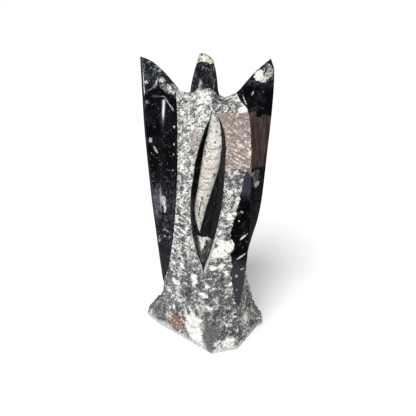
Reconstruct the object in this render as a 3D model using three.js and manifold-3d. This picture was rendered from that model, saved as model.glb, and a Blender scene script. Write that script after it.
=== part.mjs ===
// An orthoceras fossil in a standing carving of black fossil limestone.
//
// One block of limestone stands on its sawn underside. The lower third is left as rough stone, the
// upper part is worked into a left and a right fin with a blunt horn between them, and a pointed
// window is sunk into the chiselled front panel. The fossil, the calcite shell of an orthoceras,
// lies in the floor of that window, half in the stone and half proud of it.
//
// Millimetres, +Z up. X runs along the line of the fins and the front of the carving faces -Y.
// The origin is the middle of the bounding box, on the sawn underside.

import * as THREE from 'three';
import { ParametricGeometry } from 'three/addons/geometries/ParametricGeometry.js';
import { mergeVertices } from 'three/addons/utils/BufferGeometryUtils.js';
import Module from 'manifold-3d';

// ---- driving dimensions ----

const HORN_TOP = 360;          // height of the horn's tip, the highest point
const HORN_SHOULDER = 351;     // where the horn's rounded cap begins
const HORN_FOOT = 316;         // where the horn's side meets the valleys
const HORN_X = 4;              // middle of the horn
const HORN_FOOT_RADIUS = 16.4;
const HORN_CAP_RADIUS = 9.3;
const HORN_SWELL = 1;          // how far the horn's sides swell between its foot and its cap
const HORN_LEAN = 4;           // how far the cap's tip leans to the left
const HORN_FOOT_SHIFT = 1.7;   // how far the foot of the horn stands to the left of its shoulder
const HORN_POINT = 1.25;       // how blunt the cap is: 2 is a round dome, 1 is more pointed
const CREST_Y = 5;             // the line that the tops of the stone run along
const CREST_SWEEP = 2;         // how far back the fins' tips stand from it
const FRONT_BEVEL = 2.5;       // depth gained for each millimetre below the crest, in front
const BACK_BEVEL = 1.8;        // and behind
const EDGE = 2;                // half the thickness of a fin's outer edge
const EDGE_BEVEL = 3;          // width of the narrow bevel along the left fin's outer edge
const FLUTE_DEPTH = 0.19;      // depth of a flute as a share of its width
const FLUTE_SHOULDER = 308;    // where the round head of a flute starts
const FLUTE_HEAD = 14;         // and how much higher it reaches
const WINDOW_FOOT = 109;       // lowest point of the window
const WINDOW_TOP = 300;        // highest point of the window
const FLOOR_FOOT = 150;        // where the slope below the window's floor ends
const FLOOR_LIFT = 6;          // how far the floor, with the fossil in it, rises to the rim at the top
const LEFT_WALL = 9;           // steepness of the window's walls, depth for each millimetre
const RIGHT_WALL = 1.7;
const FOSSIL_FOOT = 155;       // ends of the fossil
const FOSSIL_TOP = 299.5;
const FOSSIL_THICKNESS = 0.5;  // thickness of the fossil as a share of its width
const CLEARANCE = 0.3;         // gap between the fossil and its bed

const ROWS = [0, 5, 12, 20, 28, 36, 44, 54, 66, 78, 90, 100, 109, 117, 125, 133, 141, 150, 160, 170,
  182, 194, 206, 218, 230, 242, 254, 266, 278, 286, 293, 300];
const TOP_ROWS = 9;            // rows between the last of those heights and the crest

// ---- curves ----

/** A smooth curve through hand-set stations that never overshoots between two of them. */
function curve(stations) {
  const last = stations.length - 1;
  const slope = (i) => (stations[i + 1][1] - stations[i][1]) / (stations[i + 1][0] - stations[i][0]);
  const tangents = stations.map((station, i) => {
    if (i === 0) return slope(0);
    if (i === last) return slope(last - 1);
    const before = slope(i - 1);
    const after = slope(i);
    return before * after <= 0 ? 0 : (2 * before * after) / (before + after);
  });
  return (at) => {
    const t = THREE.MathUtils.clamp(at, stations[0][0], stations[last][0]);
    let i = 0;
    while (i < last - 1 && t > stations[i + 1][0]) i += 1;
    const span = stations[i + 1][0] - stations[i][0];
    const s = (t - stations[i][0]) / span;
    const rise = s * s * (3 - 2 * s);
    return stations[i][1] * (1 - rise) + stations[i + 1][1] * rise
      + span * (tangents[i] * s * (1 - s) * (1 - s) - tangents[i + 1] * s * s * (1 - s));
  };
}

/** A line up the stone, from stations of height, x and y. */
function line(stations) {
  return {
    x: curve(stations.map(([z, x]) => [z, x])),
    y: curve(stations.map(([z, , y]) => [z, y])),
  };
}

// The outer edges of the two fins, which run down into the corners of the base.
const leftEdge = line([[0, -84, 9], [8, -84, 9], [15, -81, 9], [28, -70, 8], [40, -61, 7],
  [56, -57, 7], [95, -60, 7], [131, -63, 7], [200, -68, 7], [295, -71.5, 7], [356, -71.5, 7]]);
const rightEdge = line([[0, 84, 24], [6, 84, 23], [12, 82, 22], [22, 75, 20], [40, 67, 19],
  [58, 63.5, 18], [79, 58, 17], [105, 58, 15], [138, 64, 13], [162, 70, 11], [190, 74, 10],
  [238, 77, 8], [325, 81, 7], [341, 80.5, 7], [354.5, 76, 7]]);

// The left border of the rough front panel, its nose, its right border and the ridge beside it.
const panelLeft = line([[0, -57, -14], [30, -54, -11], [66, -52, -8], [84, -47, -13], [106, -40.5, -19],
  [140, -34, -22], [194, -28, -22], [243, -25.5, -19], [298, -26, -12], [323, -28.5, -7]]);
const nose = line([[0, 22.5, -59], [30, 18, -54], [60, 12, -49.5], [109, 9, -43.5], [150, 9, -40],
  [200, 11, -34.5], [250, 13, -27.5], [300, 14.5, -17.5], [324, 5, -12]]);
const ridge = line([[0, 53, -46], [29, 53, -44], [58, 54, -41.5], [93, 58, -38], [132, 60, -34],
  [158, 62, -31], [229, 61.5, -22], [285, 59, -13], [301, 55.5, -11], [311, 47, -8], [319, 41, -5]]);
const panelRight = line([[0, 51, -46.5], [58, 52.5, -42], [78, 47, -43.5], [112, 42.5, -42],
  [159, 41, -38], [192, 47, -33], [224, 52, -27.5], [245, 59, -20.5], [285, 57.5, -13.5],
  [301, 54, -11.5], [311, 45.5, -8.5], [319, 39.5, -5.5]]);

// The window's rim. Above and below the window the same two lines run on across the stone.
const rimLeft = curve([[0, 8], [60, 2], [100, 7.5], [109, 8.7], [134, 0], [158, -6], [185, -8.6],
  [200, -8.5], [225, -5.3], [249, -1.6], [279, 7], [300, 14.3], [318, -12.3], [330, -12.3]]);
const rimRight = curve([[0, 36], [60, 22], [100, 11], [109, 9.3], [139, 17.4], [166, 24],
  [189, 28.3], [209, 30.6], [225, 31.3], [258, 32], [271, 30.8], [290, 25], [300, 15.3],
  [318, 20.3], [330, 20.3]]);

// The back: the middle of its chiselled face and how deep the face is at its two borders.
const backMiddle = line([[0, -8, 59], [30, -6, 53], [60, -3, 46], [110, 0, 42], [200, 1, 36],
  [280, 2, 26], [320, 4, 16]]);
const backLeft = curve([[0, 49], [30, 44], [60, 36], [110, 30], [200, 25], [280, 18], [320, 11]]);
const backRight = curve([[0, 50], [30, 45], [60, 39], [110, 33], [200, 27], [280, 19], [320, 12]]);

// The top outline without the horn.
const bodyTop = curve([[-71.5, 356], [-60, 352], [-50, 345], [-40, 335.5], [-29, 323.5], [-22, 318],
  [-12, 317.5], [0, 323], [10, 323.5], [20, 315.5], [24, 314], [33, 316], [40, 319], [50, 330],
  [60, 341], [68, 348], [76, 354.5]]);

// The fossil's middle line, half width and the floor that it lies in.
const fossilX = curve([[155, 0.6], [171, 0.4], [184, 1.4], [196.5, 4], [211, 7.4], [227, 10.9],
  [238.5, 13.2], [250.5, 14.9], [262, 16.6], [276, 17.9], [290, 17.4], [299.5, 15.6]]);
const fossilHalfWidth = curve([[155, 0], [158, 1.3], [163, 2.5], [171, 4.8], [184, 6.9], [196.5, 8.2],
  [211, 9.1], [227, 10.4], [238.5, 11.1], [250.5, 11.1], [262, 10.9], [276, 8.8], [290, 5.9],
  [296, 3.2], [299.5, 0]]);
const floorLine = curve([[150, -24], [225, -16], [300, -9]]);
const floorY = (z) => floorLine(z) - FLOOR_LIFT * THREE.MathUtils.smoothstep(z, 272, 299);

// ---- the stone's two faces ----

const mix = THREE.MathUtils.lerp;
const bow = (s) => 4 * s * (1 - s);

/** Half the horn's width at a height. */
function hornRadius(z) {
  if (z <= HORN_SHOULDER) {
    const up = (z - HORN_FOOT) / (HORN_SHOULDER - HORN_FOOT);
    return mix(HORN_FOOT_RADIUS, HORN_CAP_RADIUS, up) + HORN_SWELL * Math.max(0, bow(up));
  }
  const up = (z - HORN_SHOULDER) / (HORN_TOP - HORN_SHOULDER);
  return HORN_CAP_RADIUS * Math.sqrt(Math.max(0, 1 - up ** HORN_POINT));
}

/** The middle of the horn at a height: straight from its shifted foot, with a cap that leans. */
function hornX(z) {
  const side = THREE.MathUtils.clamp((z - HORN_FOOT) / (HORN_SHOULDER - HORN_FOOT), 0, 1);
  const up = Math.max(0, (z - HORN_SHOULDER) / (HORN_TOP - HORN_SHOULDER));
  return HORN_X - HORN_FOOT_SHIFT * (1 - side) - HORN_LEAN * Math.min(1, up) ** 2;
}

/** Half the horn's thickness at a point of its outline's face, 0 outside it. */
function hornThickness(x, z) {
  const radius = hornRadius(z);
  const across = (x - hornX(z)) / Math.max(radius, 0.01);
  return across * across < 1 ? radius * Math.sqrt(1 - across * across) : 0;
}

/** The height of the stone's top at x. */
function topAt(x) {
  const body = bodyTop(x);
  let low = HORN_FOOT - 4;
  let high = HORN_TOP;
  const inside = (z) => Math.abs(x - hornX(z)) < hornRadius(z);
  if (!inside(low)) return body;
  for (let i = 0; i < 30; i += 1) {
    const middle = (low + high) / 2;
    if (inside(middle)) low = middle;
    else high = middle;
  }
  return Math.max(body, low);
}

const crestY = (x) => CREST_Y + CREST_SWEEP * Math.min(1, Math.abs(x) / 72);

/** How deep a flute is cut, at a share s across its width. */
function flute(s, width, z) {
  const head = Math.max(0, (z - FLUTE_SHOULDER) / FLUTE_HEAD);
  return FLUTE_DEPTH * width * Math.max(0, bow(s) - head * head);
}

/** The front face below the crest, without the horn and the window. */
function frontFace(x, z) {
  const left = [leftEdge.x(z), leftEdge.y(z) - EDGE];
  const bevel = [left[0] + EDGE_BEVEL, left[1] - EDGE_BEVEL / 2];
  const border = [panelLeft.x(z), panelLeft.y(z)];
  const middle = [nose.x(z), nose.y(z)];
  const right = [panelRight.x(z), panelRight.y(z)];
  const corner = [ridge.x(z), ridge.y(z)];
  const edge = [rightEdge.x(z), rightEdge.y(z) - EDGE];
  const between = (a, b) => (x - a[0]) / (b[0] - a[0]);
  const swell = 3 * THREE.MathUtils.smoothstep(z, 20, 90);
  if (x < bevel[0]) return mix(left[1], bevel[1], between(left, bevel));
  if (x < border[0]) {
    const s = between(bevel, border);
    const cut = z > 66 ? flute(s, border[0] - bevel[0], z) : 0;
    return mix(bevel[1], border[1], s) + cut;
  }
  if (x < middle[0]) {
    const s = between(border, middle);
    return mix(border[1], middle[1], s) - swell * bow(s);
  }
  if (x < right[0]) {
    const s = between(middle, right);
    return mix(middle[1], right[1], s) - swell * bow(s);
  }
  if (x < corner[0]) return mix(right[1], corner[1], between(right, corner));
  return mix(corner[1], edge[1], between(corner, edge));
}

/** The window's walls, its slope at the foot and its floor, whichever is shallowest. */
function windowFace(x, z, rim) {
  if (z < WINDOW_FOOT || z > WINDOW_TOP) return -Infinity;
  const fromLeft = (x - rimLeft(z)) * LEFT_WALL;
  const fromRight = (rimRight(z) - x) * RIGHT_WALL;
  if (fromLeft < 0 || fromRight < 0) return -Infinity;
  const foot = frontFace(nose.x(WINDOW_FOOT), WINDOW_FOOT);
  const slope = mix(foot, floorY(FLOOR_FOOT), (z - WINDOW_FOOT) / (FLOOR_FOOT - WINDOW_FOOT));
  return Math.min(rim + fromLeft, rim + fromRight, slope, floorY(z));
}

/** The front of the stone at (x, z), with everything cut into it. */
function frontY(x, z) {
  const face = frontFace(x, z);
  const open = Math.max(face, windowFace(x, z, face));
  const crest = crestY(x);
  const below = bodyTop(x) - z;
  const body = below > 0 ? Math.max(open, crest - FRONT_BEVEL * below) : crest;
  const horn = z > HORN_FOOT - 4 ? crest - hornThickness(x, z) : crest;
  return Math.min(body, horn);
}

/** The back of the stone at (x, z): two flutes and a chiselled face between them. */
function backY(x, z) {
  const left = [leftEdge.x(z), leftEdge.y(z) + EDGE];
  const border = [panelLeft.x(z), backLeft(z)];
  const middle = [backMiddle.x(z), backMiddle.y(z)];
  const right = [panelRight.x(z), backRight(z)];
  const edge = [rightEdge.x(z), rightEdge.y(z) + EDGE];
  const chain = [left, border, middle, right, edge];
  let i = 0;
  while (i < 3 && x > chain[i + 1][0]) i += 1;
  const width = chain[i + 1][0] - chain[i][0];
  const s = THREE.MathUtils.clamp((x - chain[i][0]) / width, 0, 1);
  const fluted = (i === 0 || i === 3) && z > 66;
  const face = mix(chain[i][1], chain[i + 1][1], s) - (fluted ? flute(s, width, z) : 0);
  const crest = crestY(x);
  const below = bodyTop(x) - z;
  const body = below > 0 ? Math.min(face, crest + BACK_BEVEL * below) : crest;
  const horn = z > HORN_FOOT - 4 ? crest + hornThickness(x, z) : crest;
  return Math.max(body, horn);
}

// ---- the stone as one closed surface ----

const wallRun = (z) => Math.min(9, 0.3 * (rimRight(z) - rimLeft(z)));
const columns = [
  { at: (z) => leftEdge.x(z), cuts: 1 },
  { at: (z) => leftEdge.x(z) + EDGE_BEVEL, cuts: 6 },
  { at: (z) => panelLeft.x(z), cuts: 4 },
  { at: (z) => rimLeft(z), cuts: 1 },
  { at: (z) => rimLeft(z) + 0.06 * (rimRight(z) - rimLeft(z)), cuts: 7 },
  { at: (z) => rimRight(z) - wallRun(z), cuts: 2 },
  { at: (z) => rimRight(z), cuts: 3 },
  { at: (z) => panelRight.x(z), cuts: 2 },
  { at: (z) => ridge.x(z), cuts: 3 },
  { at: (z) => rightEdge.x(z), cuts: 0 },
];
const COLUMN_COUNT = columns.reduce((sum, column) => sum + column.cuts, 0);

/** The x of a column at a height. */
function columnX(column, z) {
  let i = 0;
  let from = 0;
  while (i < columns.length - 2 && column > from + columns[i].cuts) {
    from += columns[i].cuts;
    i += 1;
  }
  const s = (column - from) / columns[i].cuts;
  return mix(columns[i].at(z), columns[i + 1].at(z), s);
}

/** The height at which a column reaches the top of the stone. */
function columnTop(column) {
  let low = ROWS[ROWS.length - 1];
  let high = HORN_TOP;
  for (let i = 0; i < 30; i += 1) {
    const middle = (low + high) / 2;
    if (middle < topAt(columnX(column, middle))) low = middle;
    else high = middle;
  }
  return low;
}

const tops = Array.from({ length: COLUMN_COUNT + 1 }, (unused, column) => columnTop(column));

/** The height of a row in a column: level rows at first, then shares of what is left. */
function rowHeight(row, column) {
  if (row < ROWS.length) return ROWS[row];
  const last = ROWS[ROWS.length - 1];
  return mix(last, tops[column], (row - ROWS.length + 1) / TOP_ROWS);
}

/**
 * The stone's skin. Across, it runs along the front from left to right and along the back again.
 * Up, it starts on a line under the base, spreads to the base's outline and ends on the crest.
 */
function buildStone() {
  const loop = 2 * (COLUMN_COUNT + 1);
  const stacks = ROWS.length + TOP_ROWS;
  const skin = (u, v, target) => {
    const place = Math.round(u * loop) % loop;
    const front = place <= COLUMN_COUNT;
    const column = front ? place : loop - 1 - place;
    const step = Math.round(v * stacks);
    const z = rowHeight(Math.max(0, step - 1), column);
    const x = columnX(column, z);
    const faces = [frontY(x, z), backY(x, z)];
    const closed = step === 0;
    const y = closed ? (faces[0] + faces[1]) / 2 : faces[front ? 0 : 1];
    target.set(x, step === stacks ? crestY(x) : y, z);
  };
  return new ParametricGeometry(skin, loop, stacks);
}

/** The fossil: a long spindle, wider than thick, that follows its own gently curved middle line. */
function buildFossil(grown) {
  const around = 20;
  const along = 26;
  const skin = (u, v, target) => {
    const angle = 2 * Math.PI * u;
    const share = 0.5 - 0.5 * Math.cos(Math.PI * v);
    const z = mix(FOSSIL_FOOT, FOSSIL_TOP, share);
    const end = v < 0.001 || v > 0.999;
    const half = end ? 0 : fossilHalfWidth(z) + grown;
    const thick = end ? 0 : fossilHalfWidth(z) * FOSSIL_THICKNESS + grown;
    const reach = grown * (2 * share - 1);
    target.set(fossilX(z) + half * Math.cos(angle), floorY(z) + thick * Math.sin(angle), z + reach);
  };
  return new ParametricGeometry(skin, around, along);
}

// ---- solids ----

const wasm = await Module();
wasm.setup();

/** A closed geometry as a solid, with its shared vertices merged and its empty triangles dropped. */
function solid(geometry) {
  geometry.deleteAttribute('normal');
  geometry.deleteAttribute('uv');
  const merged = mergeVertices(geometry, 1e-4);
  const corners = merged.index.array;
  const kept = [];
  for (let i = 0; i < corners.length; i += 3) {
    const [a, b, c] = corners.slice(i, i + 3);
    if (a !== b && b !== c && c !== a) kept.push(a, b, c);
  }
  return new wasm.Manifold(new wasm.Mesh({
    numProp: 3,
    vertProperties: new Float32Array(merged.attributes.position.array),
    triVerts: new Uint32Array(kept),
  }));
}

/** A solid as a geometry for a mesh. */
function geometryOf(shape) {
  const mesh = shape.getMesh();
  const geometry = new THREE.BufferGeometry();
  geometry.setAttribute('position', new THREE.BufferAttribute(mesh.vertProperties, 3));
  geometry.setIndex(new THREE.BufferAttribute(mesh.triVerts, 1));
  geometry.computeVertexNormals();
  return geometry;
}

const stone = solid(buildStone()).subtract(solid(buildFossil(CLEARANCE)));
const shell = solid(buildFossil(0));

const limestone = new THREE.MeshStandardMaterial({ color: 0x3a3b3e, roughness: 0.6, metalness: 0 });
const calcite = new THREE.MeshStandardMaterial({ color: 0xd6d0c4, roughness: 0.35, metalness: 0 });

const stoneMesh = new THREE.Mesh(geometryOf(stone), limestone);
stoneMesh.name = 'limestone_matrix';
const shellMesh = new THREE.Mesh(geometryOf(shell), calcite);
shellMesh.name = 'orthoceras_shell';

const group = new THREE.Group();
group.add(stoneMesh, shellMesh);

export default group;
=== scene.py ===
# %% [markdown]
# # An orthoceras fossil in a carved limestone tower
#
# The object is one block of black fossil limestone, left rough at the foot, worked into two polished
# fins and a horn above, with a pointed window in its chiselled front. The cream shell of an
# orthoceras, a straight relative of the squids, lies in the floor of that window. This lesson makes
# the two pieces as surfaces worked out with numpy, then gives them their finishes and light.

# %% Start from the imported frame
import math

import bpy
import numpy as np
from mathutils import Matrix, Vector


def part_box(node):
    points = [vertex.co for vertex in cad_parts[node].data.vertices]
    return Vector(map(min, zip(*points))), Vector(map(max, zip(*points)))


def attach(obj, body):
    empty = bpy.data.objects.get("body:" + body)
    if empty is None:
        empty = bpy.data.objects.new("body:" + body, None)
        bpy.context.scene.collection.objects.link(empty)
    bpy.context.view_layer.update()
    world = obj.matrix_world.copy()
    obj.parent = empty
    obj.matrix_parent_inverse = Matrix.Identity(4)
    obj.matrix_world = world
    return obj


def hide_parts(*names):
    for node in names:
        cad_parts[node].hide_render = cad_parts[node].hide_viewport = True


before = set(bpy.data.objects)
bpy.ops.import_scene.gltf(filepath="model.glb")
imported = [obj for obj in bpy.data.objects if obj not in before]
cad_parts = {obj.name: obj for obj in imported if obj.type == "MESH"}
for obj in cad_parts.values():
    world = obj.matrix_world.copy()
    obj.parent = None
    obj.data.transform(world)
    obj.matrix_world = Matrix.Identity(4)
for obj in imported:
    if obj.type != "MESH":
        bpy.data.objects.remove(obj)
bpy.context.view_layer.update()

# %% [markdown]
# ## One drawing, in millimetres
#
# A carver draws on the block before cutting it. The drawing here is in millimetres on a block 168 wide,
# 118 deep and 360 tall, with X along the fins, the front facing -Y and Z up. It is laid into the frame's
# own box, so the visible stone always has the size of the solid that it stands for.

# %% From the drawing to the frame
DRAWN_LOW = np.array([-84.0, -59.0, 0.0])
DRAWN_HIGH = np.array([84.0, 59.0, 360.0])
stone_low, stone_high = (np.array(corner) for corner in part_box("limestone_matrix"))
shell_low, shell_high = (np.array(corner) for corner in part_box("orthoceras_shell"))


def to_frame(points):
    """Millimetres of the drawing to metres of the frame: each axis is stretched from the drawn block's
    range to the range of the stone's own box."""
    share = (points - DRAWN_LOW) / (DRAWN_HIGH - DRAWN_LOW)
    return stone_low + share * (stone_high - stone_low)


print("stone", np.round(stone_high - stone_low, 4), "shell", np.round(shell_high - shell_low, 4))

# %% [markdown]
# ## Curves through a few stations
#
# Every long line of the carving, such as a fin's edge, is a curve through a few heights where its place
# is known. A plain spline can swing past its stations and would put bulges into the stone. This curve
# never overshoots: where the slope changes sign its tangent is level, and elsewhere the tangent is the
# harmonic mean of the two slopes that meet there.


# %% Curves
def curve(*stations):
    """Through (t, value) stations: on each span, a cubic from the two values and the two tangents."""
    knots, values = np.array(stations, float).T
    slopes = np.diff(values) / np.diff(knots)
    same = slopes[:-1] * slopes[1:] > 0
    total = np.where(same, slopes[:-1] + slopes[1:], 1)
    inner = np.where(same, 2 * slopes[:-1] * slopes[1:] / total, 0)
    tangents = np.concatenate([slopes[:1], inner, slopes[-1:]])

    def at(t):
        t = np.clip(t, knots[0], knots[-1])
        i = np.clip(np.searchsorted(knots, t, side="right") - 1, 0, len(knots) - 2)
        span = knots[i + 1] - knots[i]
        s = (t - knots[i]) / span
        rise = s * s * (3 - 2 * s)
        bend = span * (tangents[i] * s * (1 - s) ** 2 - tangents[i + 1] * s * s * (1 - s))
        return values[i] * (1 - rise) + values[i + 1] * rise + bend

    return at


def line(*stations):
    """A line up the stone from (z, x, y) stations: two curves over the height, one for x, one for y."""
    return curve(*[(z, x) for z, x, y in stations]), curve(*[(z, y) for z, x, y in stations])


def mix(a, b, s):
    """From a at s = 0 to b at s = 1 in a straight line."""
    return a + (b - a) * s


def bow(s):
    """0 at both ends of 0..1 and 1 in the middle."""
    return 4 * s * (1 - s)


def ease(value, low, high):
    """0 below low, 1 above high and an S-shaped rise between them."""
    s = np.clip((value - low) / (high - low), 0, 1)
    return s * s * (3 - 2 * s)


# %% [markdown]
# ## The lines of the carving
#
# From left to right a level cut through the stone meets: the left fin's edge, the left border of the
# rough panel, the window's two rims, the panel's right border, a ridge, and the right fin's edge. These
# lines are the whole design. The same lines bound the polished and the chiselled areas later.

# %% Lines up the stone
left_x, left_y = line(
    (0, -84, 9), (8, -84, 9), (15, -81, 9), (28, -70, 8), (40, -61, 7), (56, -57, 7), (95, -60, 7),
    (131, -63, 7), (200, -68, 7), (295, -71.5, 7), (356, -71.5, 7))
right_x, right_y = line(
    (0, 84, 24), (6, 84, 23), (12, 82, 22), (22, 75, 20), (40, 67, 19), (58, 63.5, 18), (79, 58, 17),
    (105, 58, 15), (138, 64, 13), (162, 70, 11), (190, 74, 10), (238, 77, 8), (325, 81, 7),
    (341, 80.5, 7), (354.5, 76, 7))
border_x, border_y = line(
    (0, -57, -14), (30, -54, -11), (66, -52, -8), (84, -47, -13), (106, -40.5, -19), (140, -34, -22),
    (194, -28, -22), (243, -25.5, -19), (298, -26, -12), (323, -28.5, -7))
nose_x, nose_y = line(
    (0, 22.5, -59), (30, 18, -54), (60, 12, -49.5), (109, 9, -43.5), (150, 9, -40), (200, 11, -34.5),
    (250, 13, -27.5), (300, 14.5, -17.5), (324, 5, -12))
panel_x, panel_y = line(
    (0, 51, -46.5), (58, 52.5, -42), (78, 47, -43.5), (112, 42.5, -42), (159, 41, -38), (192, 47, -33),
    (224, 52, -27.5), (245, 59, -20.5), (285, 57.5, -13.5), (301, 54, -11.5), (311, 45.5, -8.5),
    (319, 39.5, -5.5))
ridge_x, ridge_y = line(
    (0, 53, -46), (29, 53, -44), (58, 54, -41.5), (93, 58, -38), (132, 60, -34), (158, 62, -31),
    (229, 61.5, -22), (285, 59, -13), (301, 55.5, -11), (311, 47, -8), (319, 41, -5))
back_x, back_y = line(
    (0, -8, 59), (30, -6, 53), (60, -3, 46), (110, 0, 42), (200, 1, 36), (280, 2, 26), (320, 4, 16))
back_left = curve((0, 49), (30, 44), (60, 36), (110, 30), (200, 25), (280, 18), (320, 11))
back_right = curve((0, 50), (30, 45), (60, 39), (110, 33), (200, 27), (280, 19), (320, 12))
rim_left = curve(
    (0, 8), (60, 2), (100, 7.5), (109, 8.7), (134, 0), (158, -6), (185, -8.6), (200, -8.5),
    (225, -5.3), (249, -1.6), (279, 7), (300, 14.3), (318, -12.3), (330, -12.3))
rim_right = curve(
    (0, 36), (60, 22), (100, 11), (109, 9.3), (139, 17.4), (166, 24), (189, 28.3), (209, 30.6),
    (225, 31.3), (258, 32), (271, 30.8), (290, 25), (300, 15.3), (318, 20.3), (330, 20.3))
body_top = curve(
    (-71.5, 356), (-60, 352), (-50, 345), (-40, 335.5), (-29, 323.5), (-22, 318), (-12, 317.5),
    (0, 323), (10, 323.5), (20, 315.5), (24, 314), (33, 316), (40, 319), (50, 330), (60, 341),
    (68, 348), (76, 354.5))
floor_line = curve((150, -24), (225, -16), (300, -9))
FLOOR_LIFT = 6


def floor_y(z):
    """The window's floor, and the shell's middle: a curve that rises to the rim at the window's top."""
    return floor_line(z) - FLOOR_LIFT * ease(z, 272, 299)


print("window", float(rim_right(209) - rim_left(209)), "mm wide at its middle")

# %% [markdown]
# ## How deep the stone is at each point
#
# Seen from the front, every point (x, z) of the carving has one front surface and one back surface. So
# the stone can be written as two depths over (x, z), and each tool mark is a larger or smaller depth:
# a cut is the deeper of two surfaces, an added form is the one nearer to the viewer. The horn is round,
# so its depth is a circle's; the flute beside each fin is a bow with a rounded head, as a wheel leaves.

# %% Sizes of the horn, bevels, flutes and window
HORN_TOP, HORN_SHOULDER, HORN_FOOT = 360, 351, 316
HORN_X, HORN_FOOT_RADIUS, HORN_CAP_RADIUS, HORN_SWELL = 4, 16.4, 9.3, 1
HORN_LEAN, HORN_FOOT_SHIFT, HORN_POINT = 4, 1.7, 1.25
CREST_Y, CREST_SWEEP, FIN_REACH = 5, 2, 72
FRONT_BEVEL, BACK_BEVEL = 2.5, 1.8
EDGE, EDGE_BEVEL = 2, 3
FLUTE_DEPTH, FLUTE_FOOT, FLUTE_SHOULDER, FLUTE_HEAD = 0.19, 66, 308, 14
WINDOW_FOOT, WINDOW_TOP, FLOOR_FOOT = 109, 300, 150
LEFT_WALL, RIGHT_WALL = 9, 1.7


# %% Depth of the horn and the flutes
def horn_radius(z):
    """A cone that swells a little between foot and shoulder, closed by a blunt point."""
    up = (z - HORN_FOOT) / (HORN_SHOULDER - HORN_FOOT)
    side = mix(HORN_FOOT_RADIUS, HORN_CAP_RADIUS, up) + HORN_SWELL * np.maximum(0, bow(up))
    cap = np.clip((z - HORN_SHOULDER) / (HORN_TOP - HORN_SHOULDER), 0, 1)
    return np.where(z <= HORN_SHOULDER, side, HORN_CAP_RADIUS * np.sqrt(1 - cap ** HORN_POINT))


def horn_middle(z):
    """From a foot set a little to the left, straight to the shoulder; over it, leaning with the square
    of the height."""
    foot = HORN_FOOT_SHIFT * (1 - np.clip((z - HORN_FOOT) / (HORN_SHOULDER - HORN_FOOT), 0, 1))
    return HORN_X - foot - HORN_LEAN * np.clip((z - HORN_SHOULDER) / (HORN_TOP - HORN_SHOULDER), 0, 1) ** 2


def horn_thickness(x, z):
    """Half a round section: the radius times the square root of one less the share across squared."""
    radius = horn_radius(z)
    across = (x - horn_middle(z)) / np.maximum(radius, 0.01)
    return radius * np.sqrt(np.clip(1 - across ** 2, 0, 1))


def crest_y(x):
    """The depth of the stone's top edge: a little further back towards the fins' tips."""
    return CREST_Y + CREST_SWEEP * np.minimum(1, np.abs(x) / FIN_REACH)


def flute(s, width, z):
    """A bow across the flute's width, lowered by a square above its shoulder, which rounds its head."""
    head = np.maximum(0, (z - FLUTE_SHOULDER) / FLUTE_HEAD)
    cut = FLUTE_DEPTH * width * np.maximum(0, bow(np.clip(s, 0, 1)) - head ** 2)
    return np.where(z > FLUTE_FOOT, cut, 0)


# %% Depth of the front and the back
def front_face(x, z):
    """Straight or gently bowed pieces between neighbouring lines, with the flute cut into the first."""
    stops = [(left_x(z), left_y(z) - EDGE)]
    stops += [(stops[0][0] + EDGE_BEVEL, stops[0][1] - EDGE_BEVEL / 2)]
    stops += [(border_x(z), border_y(z)), (nose_x(z), nose_y(z)), (panel_x(z), panel_y(z))]
    stops += [(ridge_x(z), ridge_y(z)), (right_x(z), right_y(z) - EDGE)]
    swell = 3 * ease(z, 20, 90)
    pieces = []
    for i, ((ax, ay), (bx, by)) in enumerate(zip(stops, stops[1:])):
        s = (x - ax) / (bx - ax)
        extra = flute(s, bx - ax, z) if i == 1 else -swell * bow(s) if i in (2, 3) else 0
        pieces.append(mix(ay, by, s) + extra)
    return np.select([x < stop[0] for stop in stops[1:-1]], pieces[:-1], pieces[-1])


def window_face(x, z, rim):
    """The shallowest of the two walls, the slope at the foot and the floor; nothing outside the rims."""
    from_left, from_right = x - rim_left(z), rim_right(z) - x
    foot = front_face(nose_x(WINDOW_FOOT), np.float64(WINDOW_FOOT))
    slope = mix(foot, floor_y(FLOOR_FOOT), (z - WINDOW_FOOT) / (FLOOR_FOOT - WINDOW_FOOT))
    walls = rim + np.minimum(from_left * LEFT_WALL, from_right * RIGHT_WALL)
    inside = (z >= WINDOW_FOOT) & (z <= WINDOW_TOP) & (from_left >= 0) & (from_right >= 0)
    return np.where(inside, np.minimum(walls, np.minimum(slope, floor_y(z))), -np.inf)


def front_depth(x, z):
    """The deeper of face and window, bevelled up to the crest; in front of it, the horn."""
    face = front_face(x, z)
    opened = np.maximum(face, window_face(x, z, face))
    below = body_top(x) - z
    body = np.where(below > 0, np.maximum(opened, crest_y(x) - FRONT_BEVEL * below), crest_y(x))
    return np.minimum(body, crest_y(x) - np.where(z > HORN_FOOT - 4, horn_thickness(x, z), 0))


def back_depth(x, z):
    """As the front: flute, rough face in two pieces, flute; bevelled to the crest, with the horn."""
    stops = [(left_x(z), left_y(z) + EDGE), (border_x(z), back_left(z)), (back_x(z), back_y(z))]
    stops += [(panel_x(z), back_right(z)), (right_x(z), right_y(z) + EDGE)]
    pieces = []
    for i, ((ax, ay), (bx, by)) in enumerate(zip(stops, stops[1:])):
        s = np.clip((x - ax) / (bx - ax), 0, 1)
        pieces.append(mix(ay, by, s) - (flute(s, bx - ax, z) if i in (0, 3) else 0))
    face = np.select([x < stop[0] for stop in stops[1:-1]], pieces[:-1], pieces[-1])
    below = body_top(x) - z
    body = np.where(below > 0, np.minimum(face, crest_y(x) + BACK_BEVEL * below), crest_y(x))
    return np.maximum(body, crest_y(x) + np.where(z > HORN_FOOT - 4, horn_thickness(x, z), 0))


# %% [markdown]
# ## A grid that follows the carving's lines
#
# A regular grid would cut across the rims and ridges and leave them ragged. Here the columns run along
# the lines, with a set number of cuts between each two, so every edge of the carving has a column of
# its own. The rows are level up to the window's top; above it they share out what is left of each
# column, so the last row is the outline of fins and horn. The back uses every second column.

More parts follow.
